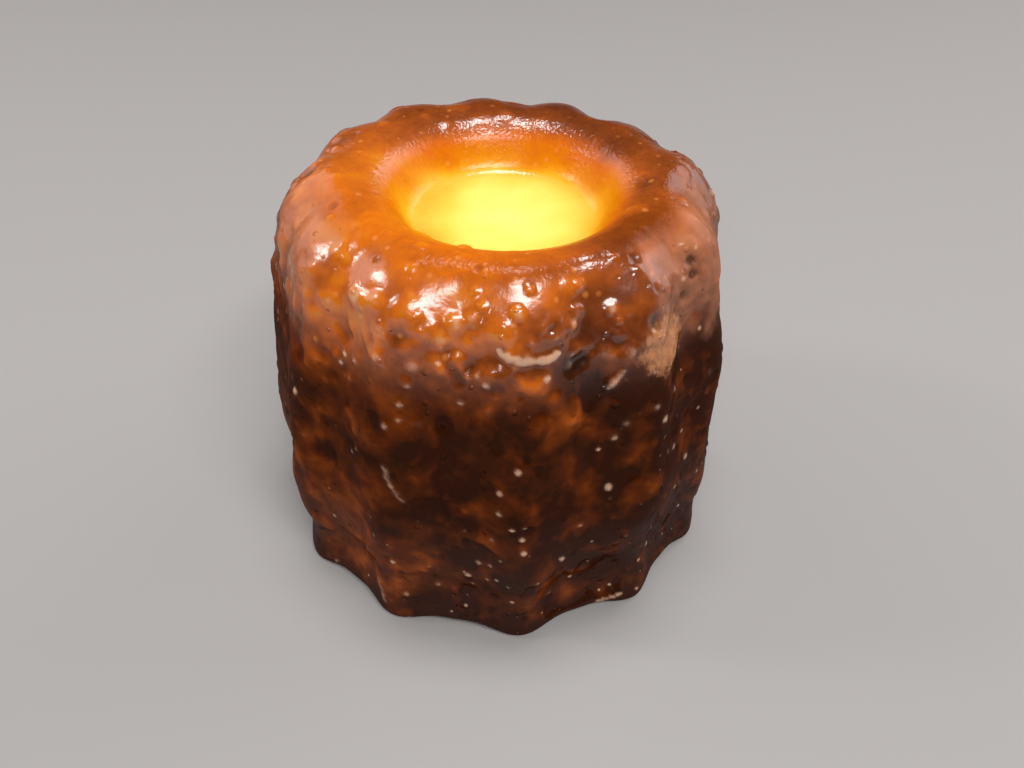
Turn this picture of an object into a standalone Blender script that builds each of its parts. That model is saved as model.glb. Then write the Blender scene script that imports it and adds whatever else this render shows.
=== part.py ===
"""A canele: a small fluted cake with a dark caramelised crust and a pale dimple in its top.

The cake is one solid. It is turned from an outline, pressed into flutes as its mould
presses it, and roughened by the lumps and blisters of a baked crust.
Metres, +Z up. The origin is at the middle of the underside, and the front is -Y.
"""

import math
import random

import bpy
import numpy as np

# Outer form, measured over the ridges
HEIGHT = 0.0460
FOOT_RADIUS = 0.0271
BELLY_RADIUS = 0.0281
SHOULDER_ROUND = 0.0076
CREST_RADIUS = 0.0171
NECK_TILT = math.radians(15)

# Foot, which narrows a little and then flares into a thin lip
LIP_FLARE = 0.0008
LIP_FORWARD = 0.0006
LIP_HEIGHT = 0.0028
WAIST_DEPTH = 0.0004
WAIST_HEIGHT = 0.0062
WAIST_SPREAD = 0.0026
EDGE_ROUND = 0.0008
EDGE_LIFT = 0.0009
EDGE_LIFT_HEIGHT = 0.0040
STANDING_RADIUS = 0.0236
STANDING_BLEND = 0.0010

# Dimple in the top, a little nearer to the front than the middle
FLOOR_RADIUS = 0.0088
WALL_FOOT_RADIUS = 0.0108
WALL_TOP_RADIUS = 0.0122
WALL_LEAN = math.radians(54)
FLOOR_LEAN = math.radians(1.7)
DIMPLE_SHIFT_X = 0.0004
DIMPLE_SHIFT_Y = -0.0020
FRONT_DROP = 0.0003

# Flutes, with a ridge between each two. A ridge's place is its azimuth in degrees, from the
# front towards +X.
RIDGES = (6, 37, 64, 97, 129, 158, 186, 213, 242, 273, 306, 334)
FLUTE_DEPTH_FOOT = 0.0016
FLUTE_DEPTH_BELLY = 0.0017
FLUTE_DEPTH_NECK = 0.0011
FLUTE_START_RADIUS = 0.0150
FLUTE_UNEVENNESS = 0.18
RIDGE_SHARPNESS_FOOT = 1.7
RIDGE_SHARPNESS_TOP = 0.8

# Unevenness of the crust
LUMP_WAVES = 26
LUMP_HEIGHT = 0.00006
LUMP_SHORTEST = 0.0080
LUMP_LONGEST = 0.0200
BLISTERS = 34
BLISTER_HEIGHT = 0.00042
BLISTER_SMALLEST = 0.0014
BLISTER_LARGEST = 0.0026
BLISTER_BAND_LOW = 0.026
BLISTER_BAND_HIGH = 0.040
CRUST_SEED = 7

# Fineness of the solid
TURN_STEPS = 120
TOP_RINGS = 14
SHOULDER_RINGS = 7
SIDE_RINGS = 21
EDGE_RINGS = 3
UNDERSIDE_RINGS = 2
LEAN_STEPS = 600
MERGE_DISTANCE = 0.00001

CRUST_COLOUR = (0.135, 0.036, 0.010, 1.0)
CRUST_ROUGHNESS = 0.28


def remove_everything():
    for thing in list(bpy.data.objects):
        bpy.data.objects.remove(thing)


def smooth(value):
    """An even rise from 0 to 1, held at both ends."""
    value = np.clip(value, 0.0, 1.0)
    return value * value * (3.0 - 2.0 * value)


def bump(distance, spread):
    return np.exp(-((distance / spread) ** 2))


def top_heights(radii):
    """The heights of the dimple and of the ring round it, out to the ring's crest.

    The lean of the surface grows from the floor to the wall, and fades over the round ring.
    """
    places = np.linspace(0.0, CREST_RADIUS, LEAN_STEPS)
    turns = (0.0, FLOOR_RADIUS, WALL_FOOT_RADIUS, WALL_TOP_RADIUS, CREST_RADIUS)
    leans = (0.0, math.sin(FLOOR_LEAN), math.sin(WALL_LEAN), math.sin(WALL_LEAN), 0.0)
    lean = np.interp(places, turns, leans)
    slope = lean / np.sqrt(1.0 - lean**2)
    rises = 0.5 * (slope[1:] + slope[:-1]) * np.diff(places)
    rise = np.append(0.0, np.cumsum(rises))
    return np.interp(radii, places, HEIGHT - rise[-1] + rise)


def side_radius(height):
    """The radius over the ridges, from the foot up to the neck under the shoulder."""
    neck_height = HEIGHT - SHOULDER_ROUND * (1.0 - math.sin(NECK_TILT))
    neck_radius = CREST_RADIUS + SHOULDER_ROUND * math.cos(NECK_TILT)
    t = height / neck_height
    barrel = FOOT_RADIUS * (1.0 - t) * (1.0 - 2.0 * t)
    barrel += BELLY_RADIUS * 4.0 * t * (1.0 - t)
    barrel += neck_radius * t * (2.0 * t - 1.0)
    lip = LIP_FLARE * bump(height, LIP_HEIGHT)
    waist = WAIST_DEPTH * bump(height - WAIST_HEIGHT, WAIST_SPREAD)
    return barrel + lip - waist


def outline():
    """Points from the dimple's middle over the ring, down the side and back along the underside."""
    points = []
    radii = np.linspace(0.0, CREST_RADIUS, TOP_RINGS)
    points.extend(zip(radii, top_heights(radii)))
    for angle in np.linspace(0.0, math.pi / 2 - NECK_TILT, SHOULDER_RINGS)[1:]:
        radius = CREST_RADIUS + SHOULDER_ROUND * math.sin(angle)
        height = HEIGHT - SHOULDER_ROUND * (1.0 - math.cos(angle))
        points.append((radius, height))
    neck_height = points[-1][1]
    for height in np.linspace(neck_height, EDGE_ROUND, SIDE_RINGS)[1:]:
        points.append((side_radius(height), height))
    edge_centre = side_radius(EDGE_ROUND) - EDGE_ROUND
    for angle in np.linspace(0.0, math.pi / 2, EDGE_RINGS)[1:]:
        radius = edge_centre + EDGE_ROUND * math.cos(angle)
        height = EDGE_ROUND * (1.0 - math.sin(angle))
        points.append((radius, height))
    for radius in np.linspace(STANDING_RADIUS, 0.0, UNDERSIDE_RINGS):
        points.append((radius, 0.0))
    return points


def turned_mesh(points):
    """The outline turned once round +Z into a closed mesh."""
    rows = [(radius, 0.0, height) for radius, height in points]
    edges = [(i, i + 1) for i in range(len(rows) - 1)]
    profile = bpy.data.meshes.new("canele_outline")
    profile.from_pydata(rows, edges, [])
    blank = bpy.data.objects.new("canele_blank", profile)
    bpy.context.scene.collection.objects.link(blank)
    screw = blank.modifiers.new("turn", "SCREW")
    screw.axis = "Z"
    screw.angle = 2.0 * math.pi
    screw.steps = TURN_STEPS
    screw.render_steps = TURN_STEPS
    screw.use_merge_vertices = True
    screw.merge_threshold = MERGE_DISTANCE
    graph = bpy.context.evaluated_depsgraph_get()
    mesh = bpy.data.meshes.new_from_object(blank.evaluated_get(graph))
    bpy.data.objects.remove(blank)
    bpy.data.meshes.remove(profile)
    return mesh


def flute_wave(azimuth, draw):
    """1 on every ridge and 0 midway between two, with each flute's own share of the depth."""
    shares = np.array([draw.uniform(-FLUTE_UNEVENNESS, FLUTE_UNEVENNESS) for _ in RIDGES])
    ridges = np.radians(RIDGES)
    turn = np.mod(azimuth - ridges[0], 2.0 * math.pi)
    starts = np.append(ridges - ridges[0], 2.0 * math.pi)
    flute = np.clip(np.searchsorted(starts, turn, side="right") - 1, 0, len(RIDGES) - 1)
    across = (turn - starts[flute]) / (starts[flute + 1] - starts[flute])
    return 0.5 + 0.5 * np.cos(2.0 * math.pi * across), 1.0 + shares[flute]


def lumps(points, draw):
    """A smooth uneven field made of a few long waves in every direction."""
    field = np.zeros(len(points))
    for _ in range(LUMP_WAVES):
        direction = np.array([draw.gauss(0.0, 1.0) for _ in range(3)])
        direction /= np.linalg.norm(direction)
        length = draw.uniform(LUMP_SHORTEST, LUMP_LONGEST)
        phase = draw.uniform(0.0, 2.0 * math.pi)
        field += np.cos(points @ direction * 2.0 * math.pi / length + phase)
    return field * LUMP_HEIGHT


def blisters(points, draw):
    """Soft swellings and dents, most of them in a band under the shoulder."""
    field = np.zeros(len(points))
    for number in range(BLISTERS):
        azimuth = draw.uniform(-math.pi, math.pi)
        if number % 3:
            height = draw.uniform(BLISTER_BAND_LOW, BLISTER_BAND_HIGH)
        else:
            height = draw.uniform(WAIST_HEIGHT, BLISTER_BAND_LOW)
        radius = side_radius(height)
        centre = np.array([radius * math.sin(azimuth), -radius * math.cos(azimuth), height])
        spread = draw.uniform(BLISTER_SMALLEST, BLISTER_LARGEST)
        rise = draw.choice((-1.0, 1.0)) * draw.uniform(0.5, 1.0)
        field += rise * bump(np.linalg.norm(points - centre, axis=1), spread)
    return field * BLISTER_HEIGHT


def flute_depth(height):
    t = height / HEIGHT
    low = FLUTE_DEPTH_FOOT + (FLUTE_DEPTH_BELLY - FLUTE_DEPTH_FOOT) * smooth(2.0 * t)
    return low + (FLUTE_DEPTH_NECK - FLUTE_DEPTH_BELLY) * smooth(2.0 * t - 1.0)


def shaped(points, normals):
    """The turned points, moved into the flutes, lumps and dimple of the baked cake."""
    draw = random.Random(CRUST_SEED)
    radius = np.hypot(points[:, 0], points[:, 1])
    height = points[:, 2]
    azimuth = np.arctan2(points[:, 0], -points[:, 1])
    wave, share = flute_wave(azimuth, draw)
    sharpness = RIDGE_SHARPNESS_FOOT
    sharpness += (RIDGE_SHARPNESS_TOP - RIDGE_SHARPNESS_FOOT) * smooth(height / HEIGHT)
    hollow = (1.0 - wave**sharpness) * share
    outer = smooth((radius - FLUTE_START_RADIUS) / (STANDING_RADIUS - FLUTE_START_RADIUS))

    outward = normals.copy()
    underneath = height < EDGE_ROUND
    outward[underneath] = points[underneath] / np.maximum(radius[underneath], 1e-9)[:, None]
    outward[underneath, 2] = 0.0
    on_side = smooth(height / LIP_HEIGHT) * outer
    offset = -hollow * flute_depth(height) * outer
    offset += (lumps(points, draw) + blisters(points, draw)) * on_side
    result = points + outward * offset[:, None]

    near_edge = smooth((radius - STANDING_RADIUS) / STANDING_BLEND - 0.1)
    result[:, 2] += EDGE_LIFT * hollow * near_edge * (1.0 - smooth(height / EDGE_LIFT_HEIGHT))

    forward = LIP_FORWARD * np.cos(azimuth) * bump(height, LIP_HEIGHT) * outer
    result[:, :2] += forward[:, None] * points[:, :2] / np.maximum(radius, 1e-9)[:, None]

    in_top = smooth(height / HEIGHT * 3.0 - 2.0)
    drift = (1.0 - outer) * in_top
    result[:, 0] += DIMPLE_SHIFT_X * drift
    result[:, 1] += DIMPLE_SHIFT_Y * drift
    result[:, 2] += FRONT_DROP * in_top * np.clip(result[:, 1] / CREST_RADIUS, -1.0, 0.0)
    return result


def centred(points):
    """The points, moved so that the middle of their box stands over the origin."""
    middle = (points.min(axis=0) + points.max(axis=0)) / 2.0
    middle[2] = points[:, 2].min()
    return points - middle


def crust_material():
    material = bpy.data.materials.new("canele_crust")
    material.use_nodes = True
    shader = material.node_tree.nodes["Principled BSDF"]
    shader.inputs["Base Color"].default_value = CRUST_COLOUR
    shader.inputs["Roughness"].default_value = CRUST_ROUGHNESS
    shader.inputs["Metallic"].default_value = 0.0
    return material


def make_canele(collection):
    mesh = turned_mesh(outline())
    count = len(mesh.vertices)
    points = np.empty(count * 3)
    mesh.vertices.foreach_get("co", points)
    normals = np.empty(count * 3)
    mesh.vertex_normals.foreach_get("vector", normals)
    points = centred(shaped(points.reshape(-1, 3), normals.reshape(-1, 3)))
    mesh.vertices.foreach_set("co", points.ravel())
    mesh.update()
    mesh.shade_smooth()
    mesh.materials.append(crust_material())
    mesh.name = "canele"
    cake = bpy.data.objects.new("canele", mesh)
    collection.objects.link(cake)
    return cake


def main():
    remove_everything()
    collection = bpy.data.collections.new("canele")
    bpy.context.scene.collection.children.link(collection)
    make_canele(collection)


main()
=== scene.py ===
"""The look of a canele: a fluted cake with a glossy caramelised crust and a pale dimple.

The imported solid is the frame. One finely divided skin of the same form replaces it. It has the
crust's bubbles, beads, pits and creases as real relief, and a browning that follows the form.
"""

import math
import random

import bpy
import numpy as np
from mathutils import Matrix, Vector, kdtree, noise


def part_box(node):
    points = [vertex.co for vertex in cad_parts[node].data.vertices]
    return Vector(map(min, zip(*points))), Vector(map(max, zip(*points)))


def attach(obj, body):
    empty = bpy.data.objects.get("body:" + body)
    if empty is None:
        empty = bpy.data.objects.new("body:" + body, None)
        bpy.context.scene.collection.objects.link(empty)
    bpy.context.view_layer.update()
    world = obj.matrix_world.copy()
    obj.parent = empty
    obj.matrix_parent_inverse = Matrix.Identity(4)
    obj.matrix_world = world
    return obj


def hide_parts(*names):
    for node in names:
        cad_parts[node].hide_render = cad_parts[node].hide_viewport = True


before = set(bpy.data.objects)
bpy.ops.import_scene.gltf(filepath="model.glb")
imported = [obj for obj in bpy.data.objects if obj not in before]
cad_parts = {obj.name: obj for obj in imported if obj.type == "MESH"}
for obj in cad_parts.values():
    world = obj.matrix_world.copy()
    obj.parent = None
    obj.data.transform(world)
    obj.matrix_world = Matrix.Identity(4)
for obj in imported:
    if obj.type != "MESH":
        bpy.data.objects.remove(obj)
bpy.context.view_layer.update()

# Outer form, measured over the ridges, as the solid has it
HEIGHT = 0.0460
FOOT_RADIUS = 0.0271
BELLY_RADIUS = 0.0281
SHOULDER_ROUND = 0.0076
CREST_RADIUS = 0.0171
NECK_TILT = math.radians(15)
LIP_FLARE = 0.0008
LIP_FORWARD = 0.0006
LIP_HEIGHT = 0.0028
WAIST_DEPTH = 0.0004
WAIST_HEIGHT = 0.0062
WAIST_SPREAD = 0.0026
EDGE_ROUND = 0.0008
EDGE_LIFT = 0.0009
EDGE_LIFT_HEIGHT = 0.0040
STANDING_RADIUS = 0.0236
STANDING_BLEND = 0.0010
FLOOR_RADIUS = 0.0088
WALL_FOOT_RADIUS = 0.0108
WALL_TOP_RADIUS = 0.0122
WALL_LEAN = math.radians(54)
FLOOR_LEAN = math.radians(1.7)
RIM_RADIUS = 0.0146
DIMPLE_SHIFT_X = 0.0004
DIMPLE_SHIFT_Y = -0.0020
FRONT_DROP = 0.0003
RIDGES = (6, 37, 64, 97, 129, 158, 186, 213, 242, 273, 306, 334)
FLUTE_DEPTH_FOOT = 0.0016
FLUTE_DEPTH_BELLY = 0.0017
FLUTE_DEPTH_NECK = 0.0011
FLUTE_START_RADIUS = 0.0150
FLUTE_UNEVENNESS = 0.18
RIDGE_SHARPNESS_FOOT = 1.7
RIDGE_SHARPNESS_TOP = 0.8
LUMP_WAVES = 26
LUMP_HEIGHT = 0.00006
LUMP_SHORTEST = 0.0080
LUMP_LONGEST = 0.0200
BLISTERS = 34
BLISTER_HEIGHT = 0.00042
BLISTER_SMALLEST = 0.0014
BLISTER_LARGEST = 0.0026
BLISTER_BAND_LOW = 0.026
BLISTER_BAND_HIGH = 0.040
CRUST_SEED = 7

# Fineness of the skin, just under 200,000 triangles, a little closer on the front
TURN_STEPS = 480
FRONT_CLOSENESS = 0.30
TOP_RINGS = 37
SHOULDER_RINGS = 34
SIDE_RINGS = 124
EDGE_RINGS = 5
UNDERSIDE_RINGS = 8
LEAN_STEPS = 600
MERGE_DISTANCE = 0.000002

# Broad unevenness of the crust
SWELL_SIZE = 0.0075
SWELL_HEIGHT = 0.00016
RIPPLE_SIZE = 0.0027
RIPPLE_HEIGHT = 0.00009
BAND_MIDDLE = 0.0375
BAND_SPREAD = 0.0050
RELIEF_FADE = 0.0094
MARK_LIMIT = 0.00045
RELIEF_UNIT = 0.00025
SHOULDER_TOP_HEIGHT = 0.0404
LONG_MARK_STEPS = 28
LONG_MARK_SHARE = 0.15

# Scattered marks: how many, middle height and its spread, azimuth in degrees that they gather at
# and how strongly, smallest and largest radius, and rise, which is below 0 for a pit.
MARKS_SEED = 23
MARKS = (
    (120, 0.0385, 0.0045, 0, 0.5, 0.0010, 0.0019, 0.00032),
    (100, 0.0375, 0.0045, 0, 0.5, 0.0007, 0.0013, -0.00032),
    (240, 0.0380, 0.0060, 20, 0.6, 0.00050, 0.0009, 0.00028),
    (150, 0.0240, 0.0100, 0, 0.0, 0.0005, 0.0009, 0.00024),
    (60, 0.0220, 0.0120, 0, 0.0, 0.0014, 0.0026, 0.00026),
    (60, 0.0220, 0.0120, 0, 0.0, 0.0013, 0.0024, -0.00026),
    (230, 0.0070, 0.0075, 0, 0.3, 0.00045, 0.0008, -0.00034),
    (190, 0.0080, 0.0080, 0, 0.3, 0.00045, 0.0008, 0.00026),
    (120, 0.0240, 0.0140, 62, 3.0, 0.00045, 0.0008, -0.00034),
    (70, 0.0460, 0.0012, 0, 0.0, 0.0006, 0.0012, 0.00007),
)

# Marks that the photograph shows singly: azimuth in degrees, height, radius and rise
SINGLE_MARKS = (
    (0.2, 0.0240, 0.0007, 0.00030),
    (3.0, 0.0192, 0.0005, 0.00020),
    (5.9, 0.0196, 0.0005, 0.00020),
    (5.0, 0.0176, 0.0006, 0.00024),
    (-18.6, 0.0375, 0.0010, 0.00034),
    (-19.9, 0.0352, 0.0006, 0.00026),
    (-21.3, 0.0329, 0.0006, 0.00026),
    (-21.6, 0.0315, 0.0006, 0.00024),
    (-24.3, 0.0304, 0.0007, 0.00024),
    (-5.1, 0.0372, 0.0006, 0.00024),
    (-8.6, 0.0337, 0.0006, 0.00022),
    (-34.6, 0.0355, 0.0006, 0.00022),
    (43.3, 0.0309, 0.0006, 0.00026),
    (42.5, 0.0231, 0.0006, 0.00024),
    (37.2, 0.0396, 0.0010, -0.00050),
    (55.7, 0.0421, 0.0007, -0.00050),
    (55.8, 0.0408, 0.0008, -0.00050),
    (4.3, 0.0269, 0.0007, 0.00018),
    (15.9, 0.0120, 0.0006, 0.00020),
    (-4.9, 0.0123, 0.0007, 0.00022),
    (-42.5, 0.0399, 0.0014, 0.00034),
    (-34.8, 0.0411, 0.0013, 0.00034),
    (-28.1, 0.0414, 0.0012, 0.00034),
    (-26.2, 0.0399, 0.0014, 0.00030),
    (-39.2, 0.0383, 0.0012, -0.00030),
    (-10.4, 0.0411, 0.0011, 0.00030),
    (-6.4, 0.0417, 0.0009, 0.00026),
    (-12.9, 0.0402, 0.0010, 0.00026),
    (16.9, 0.0408, 0.0010, 0.00026),
    (27.2, 0.0412, 0.0009, 0.00026),
    (24.0, 0.0382, 0.0010, 0.00028),
    (30.0, 0.0378, 0.0011, 0.00028),
)

# Long marks that the photograph shows, as runs of places: azimuth in degrees and height of each
# end and of the bend between them, then radius, rise and the strength of a painted highlight on
# the mark's middle
LONG_MARKS = (
    ((0.0, 0.0394), (6.2, 0.0380), (13.4, 0.0389), 0.0007, 0.00060, 1.25),
    ((-24.6, 0.0254), (-24.2, 0.0224), (-20.3, 0.0206), 0.0006, 0.00032, 0.55),
    ((24.3, 0.0343), (26.0, 0.0350), (27.6, 0.0358), 0.0006, 0.00040, 0.7),
    ((-8.0, 0.0168), (-3.0, 0.0166), (1.0, 0.0150), 0.0010, 0.00030, 0.0),
    ((26.0, 0.0014), (29.0, 0.0018), (33.0, 0.0020), 0.0006, 0.00026, 0.75),
    ((-31.0, 0.0050), (-28.5, 0.0034), (-27.5, 0.0020), 0.0006, 0.00026, 0.45),
)

# Places on the side where the crust is thinner: azimuth in degrees, height, spread and strength
AMBER_PLACES = (
    (20.9, 0.0334, 0.0024, 1.6),
    (16.4, 0.0319, 0.0020, 1.2),
    (-2.6, 0.0345, 0.0020, 0.5),
    (-34.7, 0.0306, 0.0030, 0.6),
    (-5.0, 0.0162, 0.0020, 2.2),
    (18.0, 0.0140, 0.0022, 0.7),
    (-28.0, 0.0150, 0.0032, 0.6),
    (30.0, 0.0110, 0.0024, 0.6),
    (-22.0, 0.0240, 0.0016, 0.7),
    (-34.0, 0.0050, 0.0026, 0.8),
)

# Depth of browning: over the top by the distance from the dimple's middle, and how much more
# it is down the side by the height
TOP_RADII = (0.0, 0.0060, 0.0088, 0.0100, 0.0109, 0.0119, 0.0133, 0.0150, 0.0180)
TOP_BROWNING = (0.00, 0.05, 0.11, 0.17, 0.29, 0.40, 0.50, 0.575, 0.61)
SIDE_HEIGHTS = (0.0, 0.004, 0.008, 0.014, 0.030, 0.0335, 0.037, 0.040, 0.0425, 0.045)
SIDE_BROWNING = (0.52, 0.44, 0.38, 0.38, 0.40, 0.35, 0.25, 0.16, 0.10, 0.0)

# Places on the side that are browned more than that, or less below 0, and places with a pale rough
# patch, partly flaking crust and partly painted sheen: azimuth in degrees and its spread in
# radians, height and its spread, and the amount
BROWNER_PLACES = (
    # Lighter on the left of the band: partly paler crust, partly a painted highlight
    (-42, 0.50, 0.0395, 0.0050, -0.13),
    (-34, 0.40, 0.0070, 0.0090, -0.08),
    (28, 0.45, 0.0160, 0.0120, 0.07),
)
FLAKE_AND_SHEEN_PLACES = (
    (41, 0.17, 0.0368, 0.0034, 1.0),
    (-64, 0.16, 0.0405, 0.0030, 0.6),
)

# Strength of the glaze in the dimple and up to the ring, by the distance from the middle
DIMPLE_RADII = (0.0, 0.0074, 0.0094, 0.0110, 0.0124, 0.0136)
DIMPLE_GLOSS = (0.10, 0.12, 0.95, 0.08, 0.08, 1.0)

# Camera, as the photograph was taken
SENSOR_WIDTH = 36.0
FOCAL_LENGTH = 29.84
CAMERA_PLACE = Vector((0.0, -0.0842, 0.0868))
CAMERA_PITCH = math.radians(40.5)
CAMERA_YAW = math.radians(1.30)
CAMERA_ROLL = math.radians(1.53)

# Lamps: name, place, width, length, power in watts and colour. All face one point.
LAMP_AIM = Vector((0.0, 0.0, 0.03))
LAMPS = (
    ("key_light", (0.01, 0.07, 0.62), 0.28, 0.13, 1.55, (1.0, 0.97, 0.95)),
    ("front_lamp", (0.08, -0.35, 0.52), 0.38, 0.20, 2.15, (1.0, 0.96, 0.95)),
    ("right_lamp", (0.26, -0.28, 0.52), 0.16, 0.09, 0.60, (1.0, 0.96, 0.95)),
    ("left_lamp", (-0.46, 0.02, 0.36), 0.10, 0.10, 0.45, (1.0, 0.96, 0.94)),
    ("front_spark", (-0.13, -0.42, 0.30), 0.04, 0.04, 0.16, (1.0, 0.96, 0.94)),
    ("left_rear_sheen", (-0.55, 0.34, 0.30), 0.80, 0.60, 1.5, (1.0, 0.92, 0.90)),
    ("right_rear_sheen", (0.55, 0.34, 0.30), 0.80, 0.60, 2.3, (1.0, 0.92, 0.90)),
)
WORLD_COLOUR = (1.0, 0.96, 0.95)
WORLD_STRENGTH = 0.04


def smooth(value):
    """An even rise from 0 to 1, held at both ends."""
    value = np.clip(value, 0.0, 1.0)
    return value * value * (3.0 - 2.0 * value)


def bump(distance, spread):
    """1 in the middle, falling off evenly to near 0 at twice the spread."""
    return np.exp(-((distance / spread) ** 2))


def top_heights(radii):
    """The heights of the dimple and of the ring round it, out to the ring's crest.

    The lean of the surface grows from the floor to the wall, and fades over the round ring.
    """
    places = np.linspace(0.0, CREST_RADIUS, LEAN_STEPS)
    turns = (0.0, FLOOR_RADIUS, WALL_FOOT_RADIUS, WALL_TOP_RADIUS, CREST_RADIUS)
    leans = (0.0, math.sin(FLOOR_LEAN), math.sin(WALL_LEAN), math.sin(WALL_LEAN), 0.0)
    lean = np.interp(places, turns, leans)
    slope = lean / np.sqrt(1.0 - lean**2)
    rises = 0.5 * (slope[1:] + slope[:-1]) * np.diff(places)
    rise = np.append(0.0, np.cumsum(rises))
    return np.interp(radii, places, HEIGHT - rise[-1] + rise)


def side_radius(height):
    """The radius over the ridges at a height: a barrel with a thin lip and a waist above it."""
    neck_height = HEIGHT - SHOULDER_ROUND * (1.0 - math.sin(NECK_TILT))
    neck_radius = CREST_RADIUS + SHOULDER_ROUND * math.cos(NECK_TILT)
    t = height / neck_height
    barrel = FOOT_RADIUS * (1.0 - t) * (1.0 - 2.0 * t)
    barrel += BELLY_RADIUS * 4.0 * t * (1.0 - t)
    barrel += neck_radius * t * (2.0 * t - 1.0)
    lip = LIP_FLARE * bump(height, LIP_HEIGHT)
    waist = WAIST_DEPTH * bump(height - WAIST_HEIGHT, WAIST_SPREAD)
    return barrel + lip - waist


def outline():
    """Points from the dimple's middle over the ring, down the side and back along the underside."""
    points = []
    radii = np.linspace(0.0, CREST_RADIUS, TOP_RINGS)
    points.extend(zip(radii, top_heights(radii)))
    for angle in np.linspace(0.0, math.pi / 2 - NECK_TILT, SHOULDER_RINGS)[1:]:
        radius = CREST_RADIUS + SHOULDER_ROUND * math.sin(angle)
        height = HEIGHT - SHOULDER_ROUND * (1.0 - math.cos(angle))
        points.append((radius, height))
    neck_height = points[-1][1]
    for height in np.linspace(neck_height, EDGE_ROUND, SIDE_RINGS)[1:]:
        points.append((side_radius(height), height))
    edge_centre = side_radius(EDGE_ROUND) - EDGE_ROUND
    for angle in np.linspace(0.0, math.pi / 2, EDGE_RINGS)[1:]:
        radius = edge_centre + EDGE_ROUND * math.cos(angle)
        height = EDGE_ROUND * (1.0 - math.sin(angle))
        points.append((radius, height))
    for radius in np.linspace(STANDING_RADIUS, 0.0, UNDERSIDE_RINGS):
        points.append((radius, 0.0))
    return points


def turned_mesh(points):
    """The outline turned once round +Z into a closed mesh."""
    rows = [(radius, 0.0, height) for radius, height in points]
    edges = [(i, i + 1) for i in range(len(rows) - 1)]
    profile = bpy.data.meshes.new("crust_outline")
    profile.from_pydata(rows, edges, [])
    blank = bpy.data.objects.new("crust_blank", profile)
    bpy.context.scene.collection.objects.link(blank)
    screw = blank.modifiers.new("turn", "SCREW")
    screw.axis = "Z"
    screw.angle = 2.0 * math.pi
    screw.steps = TURN_STEPS
    screw.render_steps = TURN_STEPS
    screw.use_merge_vertices = True
    screw.merge_threshold = MERGE_DISTANCE
    graph = bpy.context.evaluated_depsgraph_get()
    mesh = bpy.data.meshes.new_from_object(blank.evaluated_get(graph))
    bpy.data.objects.remove(blank)
    bpy.data.meshes.remove(profile)
    return mesh


def flute_wave(azimuth, draw):
    """1 on every ridge and 0 midway between two, with each flute's own share of the depth."""
    shares = np.array([draw.uniform(-FLUTE_UNEVENNESS, FLUTE_UNEVENNESS) for _ in RIDGES])
    ridges = np.radians(RIDGES)
    turn = np.mod(azimuth - ridges[0], 2.0 * math.pi)
    starts = np.append(ridges - ridges[0], 2.0 * math.pi)
    flute = np.clip(np.searchsorted(starts, turn, side="right") - 1, 0, len(RIDGES) - 1)
    across = (turn - starts[flute]) / (starts[flute + 1] - starts[flute])
    return 0.5 + 0.5 * np.cos(2.0 * math.pi * across), 1.0 + shares[flute]


def lumps(points, draw):
    """A smooth uneven field made of a few long waves in every direction."""
    field = np.zeros(len(points))
    for _ in range(LUMP_WAVES):
        direction = np.array([draw.gauss(0.0, 1.0) for _ in range(3)])
        direction /= np.linalg.norm(direction)
        length = draw.uniform(LUMP_SHORTEST, LUMP_LONGEST)
        phase = draw.uniform(0.0, 2.0 * math.pi)
        field += np.cos(points @ direction * 2.0 * math.pi / length + phase)
    return field * LUMP_HEIGHT


def blisters(points, draw):
    """Soft swellings and dents, most of them in a band under the shoulder."""
    field = np.zeros(len(points))
    for number in range(BLISTERS):
        azimuth = draw.uniform(-math.pi, math.pi)
        if number % 3:
            height = draw.uniform(BLISTER_BAND_LOW, BLISTER_BAND_HIGH)
        else:
            height = draw.uniform(WAIST_HEIGHT, BLISTER_BAND_LOW)
        radius = side_radius(height)
        centre = np.array([radius * math.sin(azimuth), -radius * math.cos(azimuth), height])
        spread = draw.uniform(BLISTER_SMALLEST, BLISTER_LARGEST)
        rise = draw.choice((-1.0, 1.0)) * draw.uniform(0.5, 1.0)
        field += rise * bump(np.linalg.norm(points - centre, axis=1), spread)
    return field * BLISTER_HEIGHT


def flute_depth(height):
    """How deep the flutes are at a height."""
    t = height / HEIGHT
    low = FLUTE_DEPTH_FOOT + (FLUTE_DEPTH_BELLY - FLUTE_DEPTH_FOOT) * smooth(2.0 * t)
    return low + (FLUTE_DEPTH_NECK - FLUTE_DEPTH_BELLY) * smooth(2.0 * t - 1.0)


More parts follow.
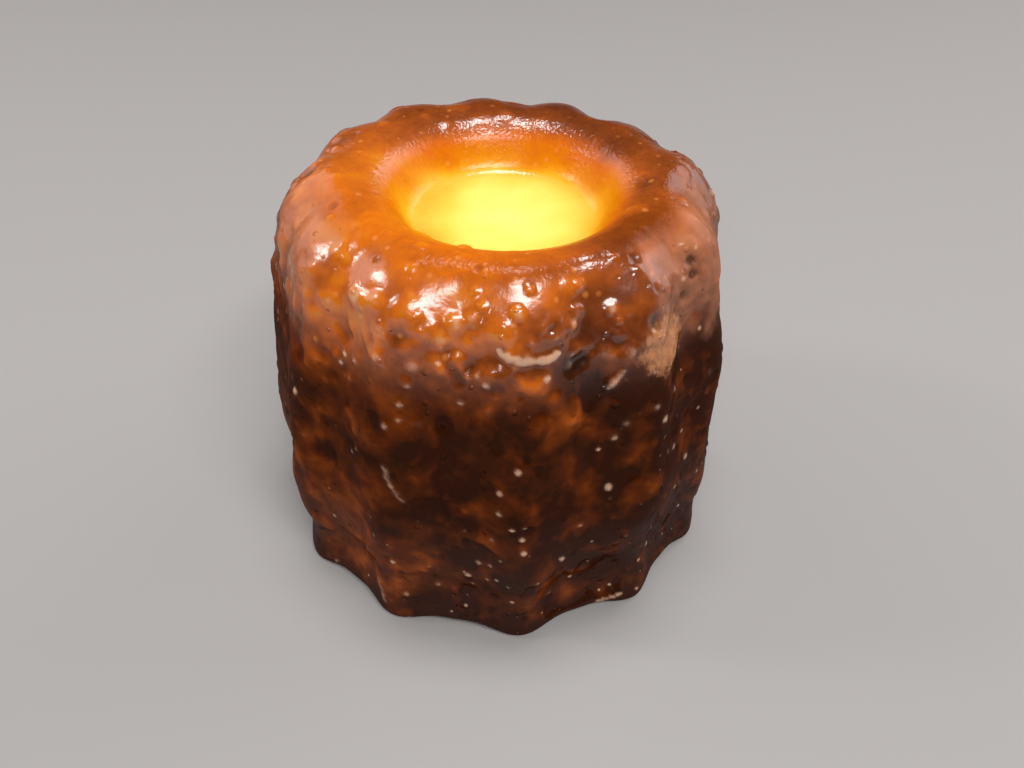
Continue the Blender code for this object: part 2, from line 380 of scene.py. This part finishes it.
def shaped(points, normals):
    """The turned points, moved into the flutes, lumps and dimple of the baked cake."""
    draw = random.Random(CRUST_SEED)
    radius = np.hypot(points[:, 0], points[:, 1])
    height = points[:, 2]
    azimuth = np.arctan2(points[:, 0], -points[:, 1])
    wave, share = flute_wave(azimuth, draw)
    sharpness = RIDGE_SHARPNESS_FOOT
    sharpness += (RIDGE_SHARPNESS_TOP - RIDGE_SHARPNESS_FOOT) * smooth(height / HEIGHT)
    hollow = (1.0 - wave**sharpness) * share
    outer = smooth((radius - FLUTE_START_RADIUS) / (STANDING_RADIUS - FLUTE_START_RADIUS))

    outward = normals.copy()
    underneath = height < EDGE_ROUND
    outward[underneath] = points[underneath] / np.maximum(radius[underneath], 1e-9)[:, None]
    outward[underneath, 2] = 0.0
    on_side = smooth(height / LIP_HEIGHT) * outer
    offset = -hollow * flute_depth(height) * outer
    offset += (lumps(points, draw) + blisters(points, draw)) * on_side
    result = points + outward * offset[:, None]

    near_edge = smooth((radius - STANDING_RADIUS) / STANDING_BLEND - 0.1)
    result[:, 2] += EDGE_LIFT * hollow * near_edge * (1.0 - smooth(height / EDGE_LIFT_HEIGHT))

    forward = LIP_FORWARD * np.cos(azimuth) * bump(height, LIP_HEIGHT) * outer
    result[:, :2] += forward[:, None] * points[:, :2] / np.maximum(radius, 1e-9)[:, None]

    in_top = smooth(height / HEIGHT * 3.0 - 2.0)
    drift = (1.0 - outer) * in_top
    result[:, 0] += DIMPLE_SHIFT_X * drift
    result[:, 1] += DIMPLE_SHIFT_Y * drift
    result[:, 2] += FRONT_DROP * in_top * np.clip(result[:, 1] / CREST_RADIUS, -1.0, 0.0)
    return result


def gathered(turned):
    """The turned points with their azimuths drawn a little towards the front."""
    azimuth = np.arctan2(turned[:, 0], -turned[:, 1])
    moved = azimuth - FRONT_CLOSENESS * np.sin(azimuth)
    radius = np.hypot(turned[:, 0], turned[:, 1])
    return np.column_stack((radius * np.sin(moved), -radius * np.cos(moved), turned[:, 2]))


def noise_field(points, size, octaves, seed):
    """Fractal noise from about -1 to 1, whose largest features are as wide as size."""
    shift = Vector((seed * 7.1, seed * 3.3, seed * 5.7))
    values = [noise.fractal(Vector(p) / size + shift, 0.7, 2.1, octaves) for p in points]
    return np.array(values)


def angle_away(azimuth, degrees):
    """How far each azimuth is from one given in degrees, in radians."""
    return np.abs(np.mod(azimuth - math.radians(degrees) + math.pi, 2.0 * math.pi) - math.pi)


class Marks:
    """Beads, swellings and pits round places on the skin, some beads with a painted highlight."""

    def __init__(self, points, azimuth, height, open_skin):
        self.points = points
        self.azimuth = azimuth
        self.height = height
        self.open_skin = open_skin
        self.field = np.zeros(len(points))
        # Strength of the painted highlight on the middle of each bead
        self.painted_glint = np.zeros(len(points))
        self.tree = kdtree.KDTree(len(points))
        for number, point in enumerate(points):
            self.tree.insert(point, number)
        self.tree.balance()

    def add(self, centre, radius, rise, glint_strength=0.0):
        """One rounded mark, and how strongly a painted highlight is laid on its middle."""
        found = self.tree.find_range(centre, radius)
        if found:
            near = np.array([number for _, number, _ in found])
            away = np.array([distance for _, _, distance in found]) / radius
            dome = np.clip(1.0 - away**2, 0.0, 1.0)
            self.field[near] += rise * dome
            self.painted_glint[near] = np.maximum(self.painted_glint[near], glint_strength * dome**2)

    def on_side(self, degrees, height):
        """The place on the skin at an azimuth and a height."""
        radius = side_radius(height)
        if height >= SHOULDER_TOP_HEIGHT:
            radius = CREST_RADIUS + 0.7 * SHOULDER_ROUND
        angle = math.radians(degrees)
        guess = (radius * math.sin(angle), -radius * math.cos(angle), height)
        return self.tree.find(guess)[0]

    def scatter(self, draw, kind):
        """One row of the table of scattered marks, laid at random places."""
        count, middle, spread, degrees, pull, small, large, rise = kind
        weight = bump(self.height - middle, spread) * (1.0 - FRONT_CLOSENESS * np.cos(self.azimuth))
        weight *= 1.0 + pull * bump(angle_away(self.azimuth, degrees), 0.7)
        total = np.cumsum(weight * self.open_skin)
        for _ in range(count):
            number = int(np.searchsorted(total, draw.random() * total[-1]))
            size = small + (large - small) * draw.random() ** 1.6
            lift = rise * draw.uniform(0.5, 1.15) * (0.5 + 0.5 * size / large)
            # A few small beads get a painted highlight on their middle
            pale = 1.15 * draw.random() ** 3 if rise > 0.0 and large < 0.0010 else 0.0
            self.add(self.points[number], size, lift, pale)

    def run(self, start, bend, end, radius, rise, glint_strength):
        """A long mark, laid as a row of places along a bent line."""
        for number in range(LONG_MARK_STEPS + 1):
            t = number / LONG_MARK_STEPS
            degrees = (1 - t) ** 2 * start[0] + 2 * t * (1 - t) * bend[0] + t * t * end[0]
            height = (1 - t) ** 2 * start[1] + 2 * t * (1 - t) * bend[1] + t * t * end[1]
            swell = 0.75 + 0.25 * math.sin(math.pi * t) + 0.12 * math.sin(9.0 * t)
            lift = LONG_MARK_SHARE * rise * swell
            self.add(self.on_side(degrees, height), radius * swell, lift, glint_strength)


def finely_shaped(mesh, points, azimuth, height, radius):
    """The shaped points with swells, ripples and marks raised along the skin's own normals."""
    draw = random.Random(MARKS_SEED)
    normals = np.empty(len(points) * 3)
    mesh.vertex_normals.foreach_get("vector", normals)
    normals = normals.reshape(-1, 3)
    outer = smooth((radius - WALL_TOP_RADIUS) / RELIEF_FADE)
    above_floor = smooth(height / LIP_HEIGHT)
    band = bump(height - BAND_MIDDLE, BAND_SPREAD)
    relief = SWELL_HEIGHT * noise_field(points, SWELL_SIZE, 2, 2) * outer
    relief += RIPPLE_HEIGHT * noise_field(points, RIPPLE_SIZE, 2, 5) * (0.35 + 0.7 * band) * outer

    open_skin = (radius > RIM_RADIUS - 0.001) * (height > 0.0004)
    marks = Marks(points, azimuth, height, open_skin)
    for kind in MARKS:
        marks.scatter(draw, kind)
    for degrees, place, size, rise in SINGLE_MARKS:
        # The single beads get a painted highlight on their middle
        pale = draw.uniform(0.6, 1.1) if size < 0.0009 else draw.uniform(0.5, 0.75)
        pale = pale if rise > 0.0 else 0.0
        marks.add(marks.on_side(degrees, place), size, rise, pale)
    for start, bend, end, size, rise, glint_strength in LONG_MARKS:
        marks.run(start, bend, end, size, rise, glint_strength)
    fine = MARK_LIMIT * np.tanh(marks.field / MARK_LIMIT)
    relief += fine
    return points + normals * (relief * above_floor)[:, None], fine, marks.painted_glint


def fitted(points):
    """The points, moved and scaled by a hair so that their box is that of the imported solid."""
    low, high = (np.array(corner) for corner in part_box("canele"))
    own_low = points.min(axis=0)
    own_high = points.max(axis=0)
    return low + (points - own_low) * (high - low) / (own_high - own_low)


def store(mesh, name, values):
    """A value for every vertex, which the material reads by its name."""
    layer = mesh.attributes.new(name, "FLOAT", "POINT")
    layer.data.foreach_set("value", values.astype(np.float32))


def browning(points, azimuth, height, radius):
    """How deeply the skin is baked: 0 in the dimple's pale middle and 1 where it is darkest."""
    drift = noise_field(points, 0.006, 2, 9)
    top = np.interp(radius + 0.0008 * drift, TOP_RADII, TOP_BROWNING)
    on_left = smooth((-points[:, 0] - 0.0015 + 0.0015 * drift) / 0.0050)
    top += 0.07 * on_left * smooth((0.0105 - radius) / 0.0020)
    at_rear = smooth(-1.5 * np.cos(azimuth))
    top += 0.08 * at_rear * bump(radius - 0.0112, 0.0015)
    on_ring = smooth((radius - 0.0120) / 0.0030)
    # Paler at the front-left of the ring and darker at the rear and right: partly a real difference
    # in baking, partly painted light and shade
    top += (0.03 - 0.12 * np.cos(azimuth + math.radians(45))) * on_ring
    top += 0.06 * smooth(-np.cos(azimuth)) * on_ring
    inner_shoulder = on_ring * smooth((0.0215 - radius) / 0.0030)
    top += 0.12 * bump(angle_away(azimuth, 43), 0.36) * inner_shoulder
    down = np.interp(height, SIDE_HEIGHTS, SIDE_BROWNING)
    on_shoulder = smooth((height - 0.033) / 0.006)
    down += 0.06 * bump(angle_away(azimuth, 22), 0.40) * on_shoulder
    down -= 0.05 * bump(angle_away(azimuth, 62), 0.35) * on_shoulder
    for degrees, turn, middle, spread, more in BROWNER_PLACES:
        down += more * bump(angle_away(azimuth, degrees), turn) * bump(height - middle, spread)
    on_side = smooth((radius - CREST_RADIUS) / 0.002)
    return np.clip(top + down * on_side + 0.05 * drift * on_ring, 0.0, 1.0)


def amber_share(azimuth, height):
    """How strongly thin amber places show through the dark side."""
    share = 0.5 + 0.3 * smooth((0.040 - height) / 0.004)
    for degrees, middle, spread, strength in AMBER_PLACES:
        along = angle_away(azimuth, degrees) * BELLY_RADIUS
        share = share + strength * bump(np.hypot(along, height - middle), spread)
    return share


def painted_sheen_place(points, azimuth, height, radius):
    """Where the shoulder gets a painted pinkish sheen: wide on the right flank and thin on the
    left.
    """
    drift = noise_field(points, 0.0045, 3, 13)
    right = smooth(1.0 - (angle_away(azimuth, 66) + 0.22 * drift - 0.26) / 0.34)
    left = 0.5 * smooth(1.0 - (angle_away(azimuth, -64) + 0.22 * drift - 0.15) / 0.34)
    low_edge = smooth((height + 0.0055 * drift - 0.0335) / 0.0062)
    return (right + left) * low_edge * smooth((radius - 0.0174) / 0.0050)


def gloss(azimuth, height, radius, painted_glint, painted_sheen):
    """The strength of the glaze: strongest on the wet shoulder and faint on the lower side."""
    on_ring = smooth((CREST_RADIUS - radius) / 0.0010)
    strongest = 0.60 + 0.40 * np.maximum(smooth(1.4 * np.cos(azimuth) - 0.2), on_ring)
    lowest = 0.06 + 0.13 * smooth((0.021 - height) / 0.012)
    value = lowest + (strongest - lowest) * smooth((height - 0.032) / 0.010)
    # The glaze is stronger on the beads that carry a painted highlight
    value += (0.25 + 0.45 * smooth((height - 0.026) / 0.010)) * smooth(painted_glint / 0.6)
    # Weaker glaze where the pinkish sheen is painted instead
    value *= 1.0 - 0.75 * painted_sheen
    on_front = smooth(np.cos(azimuth) / 0.6) * smooth((CREST_RADIUS + 0.0042 - radius) / 0.0015)
    on_front = on_front * (1.0 - 0.8 * bump(angle_away(azimuth, 26), 0.20))
    inside = np.interp(radius, DIMPLE_RADII, DIMPLE_GLOSS)
    value = np.where(radius < RIM_RADIUS, inside, value)
    return np.clip(value * (1.0 - 0.85 * on_front * (radius > WALL_FOOT_RADIUS)), 0.0, 1.0)


def make_skin():
    """The whole crust as one closed skin, with what the material needs to know at each vertex."""
    mesh = turned_mesh(outline())
    count = len(mesh.vertices)
    turned = np.empty(count * 3)
    mesh.vertices.foreach_get("co", turned)
    turned = gathered(turned.reshape(-1, 3))
    mesh.vertices.foreach_set("co", turned.ravel())
    mesh.update()
    normals = np.empty(count * 3)
    mesh.vertex_normals.foreach_get("vector", normals)
    radius = np.hypot(turned[:, 0], turned[:, 1])
    azimuth = np.arctan2(turned[:, 0], -turned[:, 1])
    height = turned[:, 2].copy()
    points = shaped(turned, normals.reshape(-1, 3))
    mesh.vertices.foreach_set("co", points.ravel())
    mesh.update()
    points, fine, painted_glint = finely_shaped(mesh, points, azimuth, height, radius)
    points = fitted(points)
    mesh.vertices.foreach_set("co", points.ravel())
    mesh.update()
    mesh.shade_smooth()

    side = smooth((radius - CREST_RADIUS) / 0.0045)
    right_flank = bump(angle_away(azimuth, 66), 0.40)
    left_flank = bump(angle_away(azimuth, -66), 0.30)
    # Where the painted shade of pores and dents and the painted pale specks show: lower side and
    # flanks
    low = np.clip(smooth((0.020 - height) / 0.014) + right_flank + 0.4 * left_flank, 0.0, 1.0)
    flake_and_sheen = np.zeros(count)
    for degrees, turn, middle, spread, strength in FLAKE_AND_SHEEN_PLACES:
        along = bump(angle_away(azimuth, degrees), turn)
        flake_and_sheen += strength * along * bump(height - middle, spread) * side
    flank = smooth((np.abs(azimuth) - 0.75) / 0.35) * (radius > CREST_RADIUS)
    grain = np.where(height > 0.033, 1.0 - 0.85 * side, 0.25)
    grain *= 0.50 + 0.50 * smooth((radius - 0.0105) / 0.0030)
    grain *= smooth((radius - 0.0070) / 0.0030)
    store(mesh, "browning", browning(points, azimuth, height, radius))
    store(mesh, "relief", fine / RELIEF_UNIT)
    store(mesh, "side", side)
    store(mesh, "amber", amber_share(azimuth, height) * side)
    painted_sheen = painted_sheen_place(points, azimuth, height, radius)
    store(mesh, "painted_sheen", painted_sheen)
    store(mesh, "gloss", gloss(azimuth, height, radius, painted_glint, painted_sheen))
    store(mesh, "matt", 0.10 * (1.0 - side) + 0.22 * flank)
    # Where a painted highlight lies on a bead's middle
    store(mesh, "painted_glint", painted_glint * side)
    store(mesh, "grain", 0.00001 + 0.00007 * grain)
    store(mesh, "low", low * side)
    store(mesh, "flake_and_sheen", flake_and_sheen)
    mesh.name = "crust_skin"
    skin = bpy.data.objects.new("crust_skin", mesh)
    bpy.context.scene.collection.objects.link(skin)
    return skin


class Nodes:
    """A few short calls for building a material's node tree."""

    def __init__(self, material):
        material.use_nodes = True
        self.tree = material.node_tree
        self.shader = self.tree.nodes["Principled BSDF"]

    def add(self, kind, **settings):
        node = self.tree.nodes.new(kind)
        for name, value in settings.items():
            setattr(node, name, value)
        return node

    def join(self, source, target):
        self.tree.links.new(source, target)

    def feed(self, value, socket):
        if isinstance(value, bpy.types.NodeSocket):
            self.join(value, socket)
        else:
            socket.default_value = value

    def attribute(self, name):
        """A value that the mesh holds for every vertex."""
        return self.add("ShaderNodeAttribute", attribute_name=name).outputs["Fac"]

    def place(self):
        return self.add("ShaderNodeTexCoord").outputs["Object"]

    def math(self, operation, first, second=0.0, third=0.0):
        node = self.add("ShaderNodeMath", operation=operation)
        for value, socket in zip((first, second, third), node.inputs):
            self.feed(value, socket)
        return node.outputs["Value"]

    def noise(self, place, size, detail=3.0, roughness=0.55, warp=0.0):
        node = self.add("ShaderNodeTexNoise")
        self.join(place, node.inputs["Vector"])
        node.inputs["Scale"].default_value = 1.0 / size
        node.inputs["Detail"].default_value = detail
        node.inputs["Roughness"].default_value = roughness
        node.inputs["Distortion"].default_value = warp
        return node.outputs["Fac"]

    def dots(self, place, size, reach, share):
        """Round dots, 1 in the middle of each, in a share of the cells that are as wide as size."""
        node = self.add("ShaderNodeTexVoronoi")
        self.join(place, node.inputs["Vector"])
        node.inputs["Scale"].default_value = 1.0 / size
        parts = self.add("ShaderNodeSeparateColor")
        self.join(node.outputs["Color"], parts.inputs["Color"])
        chosen = self.math("LESS_THAN", parts.outputs["Red"], share)
        width = self.spread(parts.outputs["Green"], 0.0, 1.0, 0.45 * reach, reach)
        away = self.math("DIVIDE", node.outputs["Distance"], width)
        dome = self.math("SUBTRACT", 1.0, self.math("MULTIPLY", away, away))
        return self.math("MULTIPLY", self.math("MAXIMUM", dome, 0.0), chosen)

    def spread(self, value, low, high, to_low=0.0, to_high=1.0):
        node = self.add("ShaderNodeMapRange", interpolation_type="SMOOTHSTEP")
        self.feed(value, node.inputs["Value"])
        node.inputs["From Min"].default_value = low
        node.inputs["From Max"].default_value = high
        node.inputs["To Min"].default_value = to_low
        node.inputs["To Max"].default_value = to_high
        return node.outputs["Result"]

    def ramp(self, value, stops):
        node = self.add("ShaderNodeValToRGB")
        elements = node.color_ramp.elements
        for number, (place, colour) in enumerate(stops):
            element = elements[number] if number < 2 else elements.new(place)
            element.position = place
            element.color = (*colour, 1.0)
        self.join(value, node.inputs["Fac"])
        return node.outputs["Color"]

    def mix(self, share, first, second):
        node = self.add("ShaderNodeMix", data_type="RGBA")
        self.feed(share, node.inputs["Factor"])
        for value, socket in zip((first, second), (node.inputs["A"], node.inputs["B"])):
            self.feed(value if isinstance(value, bpy.types.NodeSocket) else (*value, 1.0), socket)
        return node.outputs["Result"]


# Colours by depth of browning, from the dimple's pale yellow to the darkest crust. The ramp's
# own two ends come first.
SHADES = (
    (0.00, (0.92, 0.86, 0.21)),
    (1.00, (0.032, 0.0075, 0.002)),
    (0.10, (0.90, 0.66, 0.10)),
    (0.24, (0.86, 0.43, 0.018)),
    (0.40, (0.69, 0.225, 0.003)),
    (0.50, (0.62, 0.143, 0.006)),
    (0.62, (0.38, 0.081, 0.008)),
    (0.72, (0.22, 0.046, 0.005)),
    (0.86, (0.105, 0.020, 0.0025)),
)
PALE_SPECK = (0.82, 0.30, 0.07)
# Colour of the painted highlights on beads and on specks of the lower side
PAINTED_GLINT_COLOUR = (0.88, 0.57, 0.37)
# Pinkish colour of the painted sheen on the shoulder
PAINTED_SHEEN_COLOUR = (0.38, 0.158, 0.090)
# Pale tan colour of the rough patches: partly flaking crust, partly painted sheen
FLAKE_AND_SHEEN_COLOUR = (0.50, 0.22, 0.095)
# Colour of the painted shade in pores and dents
PIT_SHADE = (0.05, 0.012, 0.005)
FLOOR_COLOUR = (0.37, 0.366, 0.362)
FLOOR_ROUGHNESS = 0.85

# Sizes of the crust's unevenness and of its dots, in metres
MOTTLE_SIZE = 0.0034
FINE_SIZE = 0.0009
BROAD_SIZE = 0.0100
SPECK_CELL = 0.0013
PORE_CELL = 0.0012
GLINT_SPECK_CELL = 0.0017
BEAD_CELL = 0.0014
PEEL_SIZE = 0.00040
PORE_DEPTH = 0.00022
FINE_BEAD_HEIGHT = 0.00016

# Glaze over the crust, and the light that goes into it
GLAZE_ROUGHNESS = 0.19
GLAZE_IOR = 1.85
SUBSURFACE_SHARE = 0.20
SUBSURFACE_COLOURS = (1.0, 0.42, 0.12)
SUBSURFACE_DEPTH = 0.0016


def crust_material():
    """Caramelised crust: browned by depth, mottled, speckled, and coated with a thin glaze."""
    material = bpy.data.materials.new("crust_caramel")
    nodes = Nodes(material)
    place = nodes.place()
    brown = nodes.attribute("browning")
    relief = nodes.attribute("relief")
    side = nodes.attribute("side")
    low = nodes.attribute("low")
    flake_and_sheen_share = nodes.attribute("flake_and_sheen")

    mottle = nodes.noise(place, MOTTLE_SIZE, 2.0, 0.45, 0.3)
    fine = nodes.noise(place, FINE_SIZE, 3.0, 0.6, 0.2)
    broad = nodes.noise(place, BROAD_SIZE, 2.0)
    amber = nodes.math("MULTIPLY", nodes.spread(mottle, 0.44, 0.80), nodes.attribute("amber"))
    uneven = nodes.math("MULTIPLY_ADD", mottle, -0.32, 0.16)
    uneven = nodes.math("MULTIPLY_ADD", amber, -0.13, uneven)
    uneven = nodes.math("ADD", uneven, nodes.math("MULTIPLY_ADD", broad, -0.26, 0.13))
    uneven = nodes.math("MULTIPLY", uneven, nodes.spread(side, 0.0, 1.0, 0.25, 1.0))
    grainy = nodes.math("MULTIPLY_ADD", fine, -0.14, 0.07)
    grainy = nodes.math("MULTIPLY", grainy, nodes.spread(brown, 0.05, 0.5, 0.08, 1.0))
    # Paler on raised marks and darker in dents: partly paler crust on the bubbles, partly painted
    # light and shade of the relief
    relief_tone_and_shading = nodes.math("MULTIPLY", relief, -0.09)
    depth = nodes.math("ADD", nodes.math("ADD", brown, uneven), nodes.math("ADD", grainy, relief_tone_and_shading))
    depth = nodes.math("MAXIMUM", depth, nodes.spread(side, 0.0, 0.6, 0.0, 0.46))
    colour = nodes.ramp(depth, SHADES)

    above = nodes.spread(brown, 0.30, 0.42)
    below = nodes.spread(brown, 0.86, 0.66, 0.0, 0.5)
    specks = nodes.math("MULTIPLY", nodes.dots(place, SPECK_CELL, 0.34, 0.30), above)
    colour = nodes.mix(nodes.math("MULTIPLY", specks, below), colour, PALE_SPECK)
    # Pale rough patches on the shoulder flanks: partly flaking crust, partly painted sheen
    ragged = nodes.math("MULTIPLY_ADD", mottle, 0.6, nodes.math("MULTIPLY_ADD", fine, 0.8, flake_and_sheen_share))
    inner = nodes.spread(flake_and_sheen_share, 0.10, 0.35, 0.0, 0.9)
    flake_and_sheen_paint = nodes.math("MULTIPLY", nodes.spread(ragged, 1.02, 1.42), inner)
    flake_and_sheen_paint = nodes.math("MULTIPLY", flake_and_sheen_paint, nodes.spread(fine, 0.42, 0.58, 0.7, 1.0))
    # Painted sheen: a pinkish, mottled patch on the shoulder
    sheen_paint = nodes.math("MULTIPLY_ADD", nodes.math("ADD", mottle, fine), 0.5, -0.1)
    sheen_paint = nodes.math("MULTIPLY_ADD", sheen_paint, 1.3, 0.15)
    sheen_paint = nodes.math("MULTIPLY", sheen_paint, nodes.attribute("painted_sheen"))
    colour = nodes.mix(sheen_paint, colour, PAINTED_SHEEN_COLOUR)
    colour = nodes.mix(flake_and_sheen_paint, colour, FLAKE_AND_SHEEN_COLOUR)
    # Painted highlights: pale middles on the beads
    patchy = nodes.math("MULTIPLY_ADD", fine, 1.8, 0.05)
    painted_glint = nodes.math("MULTIPLY", nodes.attribute("painted_glint"), patchy)
    colour = nodes.mix(nodes.spread(painted_glint, 0.20, 1.00, 0.0, 0.66), colour, PAINTED_GLINT_COLOUR)
    # Painted shade: dark pores on the lower side and flanks
    pores = nodes.math("MULTIPLY", nodes.dots(place, PORE_CELL, 0.24, 0.34), low)
    colour = nodes.mix(nodes.math("MULTIPLY", pores, 0.8), colour, PIT_SHADE)
    # Painted highlights: small pale specks on the lower side and flanks
    painted_glint_specks = nodes.math("MULTIPLY", nodes.dots(place, GLINT_SPECK_CELL, 0.21, 0.30), low)
    colour = nodes.mix(nodes.math("MULTIPLY", painted_glint_specks, 0.7), colour, PAINTED_GLINT_COLOUR)
    # Painted shade in the dents of the lower side
    sunk_shade = nodes.spread(relief, -0.35, -1.6)
    sunk_shade = nodes.math("MULTIPLY", sunk_shade, nodes.spread(low, 0.0, 1.0, 0.15, 0.8))
    colour = nodes.mix(sunk_shade, colour, PIT_SHADE)
    nodes.join(colour, nodes.shader.inputs["Base Color"])

    shine = nodes.spread(nodes.noise(place, MOTTLE_SIZE, 3.0), 0.35, 0.70, 0.13, 0.24)
    shine = nodes.math("ADD", nodes.attribute("matt"), shine)
    nodes.join(nodes.math("MULTIPLY_ADD", flake_and_sheen_paint, 0.25, shine), nodes.shader.inputs["Roughness"])
    nodes.shader.inputs["Specular IOR Level"].default_value = 0.0
    nodes.join(nodes.attribute("gloss"), nodes.shader.inputs["Coat Weight"])
    nodes.shader.inputs["Coat Roughness"].default_value = GLAZE_ROUGHNESS
    nodes.shader.inputs["Coat IOR"].default_value = GLAZE_IOR
    nodes.shader.inputs["Subsurface Weight"].default_value = SUBSURFACE_SHARE
    nodes.shader.inputs["Subsurface Radius"].default_value = SUBSURFACE_COLOURS
    nodes.shader.inputs["Subsurface Scale"].default_value = SUBSURFACE_DEPTH

    beads = nodes.math("MULTIPLY", nodes.dots(place, BEAD_CELL, 0.27, 0.30), side)
    beads = nodes.math("MULTIPLY", beads, FINE_BEAD_HEIGHT)
    dents = nodes.math("MULTIPLY", pores, -PORE_DEPTH)
    peel = nodes.noise(place, PEEL_SIZE, 2.0, 0.5)
    peel = nodes.math("MULTIPLY", peel, nodes.attribute("grain"))
    bumps = nodes.add("ShaderNodeBump")
    nodes.join(nodes.math("ADD", nodes.math("ADD", beads, dents), peel), bumps.inputs["Height"])
    bumps.inputs["Distance"].default_value = 1.0
    nodes.join(bumps.outputs["Normal"], nodes.shader.inputs["Normal"])
    nodes.join(bumps.outputs["Normal"], nodes.shader.inputs["Coat Normal"])
    return material


def floor_material():
    material = bpy.data.materials.new("floor_pale")
    nodes = Nodes(material)
    nodes.shader.inputs["Base Color"].default_value = (*FLOOR_COLOUR, 1.0)
    nodes.shader.inputs["Roughness"].default_value = FLOOR_ROUGHNESS
    return material


def make_floor():
    bpy.ops.mesh.primitive_plane_add(size=3.0, location=(0.0, 0.0, 0.0))
    floor = bpy.context.active_object
    floor.name = "floor"
    floor.data.materials.append(floor_material())


def soft_lamp(name, place, width, length, power, colour):
    """An oval soft lamp that faces the middle of the cake."""
    data = bpy.data.lights.new(name, "AREA")
    data.shape = "ELLIPSE"
    data.size = width
    data.size_y = length
    data.energy = power
    data.color = colour
    lamp = bpy.data.objects.new(name, data)
    lamp.location = place
    facing = LAMP_AIM - Vector(place)
    lamp.rotation_euler = facing.to_track_quat("-Z", "Y").to_euler()
    bpy.context.scene.collection.objects.link(lamp)


def make_lights():
    for row in LAMPS:
        soft_lamp(*row)
    world = bpy.data.worlds.new("studio")
    world.use_nodes = True
    background = world.node_tree.nodes["Background"]
    background.inputs["Color"].default_value = (*WORLD_COLOUR, 1.0)
    background.inputs["Strength"].default_value = WORLD_STRENGTH
    bpy.context.scene.world = world


def make_camera():
    data = bpy.data.cameras.new("photo_camera")
    data.sensor_width = SENSOR_WIDTH
    data.lens = FOCAL_LENGTH
    data.clip_start = 0.005
    data.clip_end = 20.0
    camera = bpy.data.objects.new("photo_camera", data)
    turn = Matrix.Rotation(-CAMERA_YAW, 4, "Z")
    tip = Matrix.Rotation(math.pi / 2 - CAMERA_PITCH, 4, "X")
    roll = Matrix.Rotation(CAMERA_ROLL, 4, "Z")
    camera.matrix_world = Matrix.Translation(CAMERA_PLACE) @ turn @ tip @ roll
    bpy.context.scene.collection.objects.link(camera)
    bpy.context.scene.camera = camera


bpy.context.scene.view_settings.view_transform = "Standard"
make_camera()
make_lights()
make_floor()
skin = make_skin()
skin.data.materials.append(crust_material())
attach(skin, "root")
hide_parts("canele")
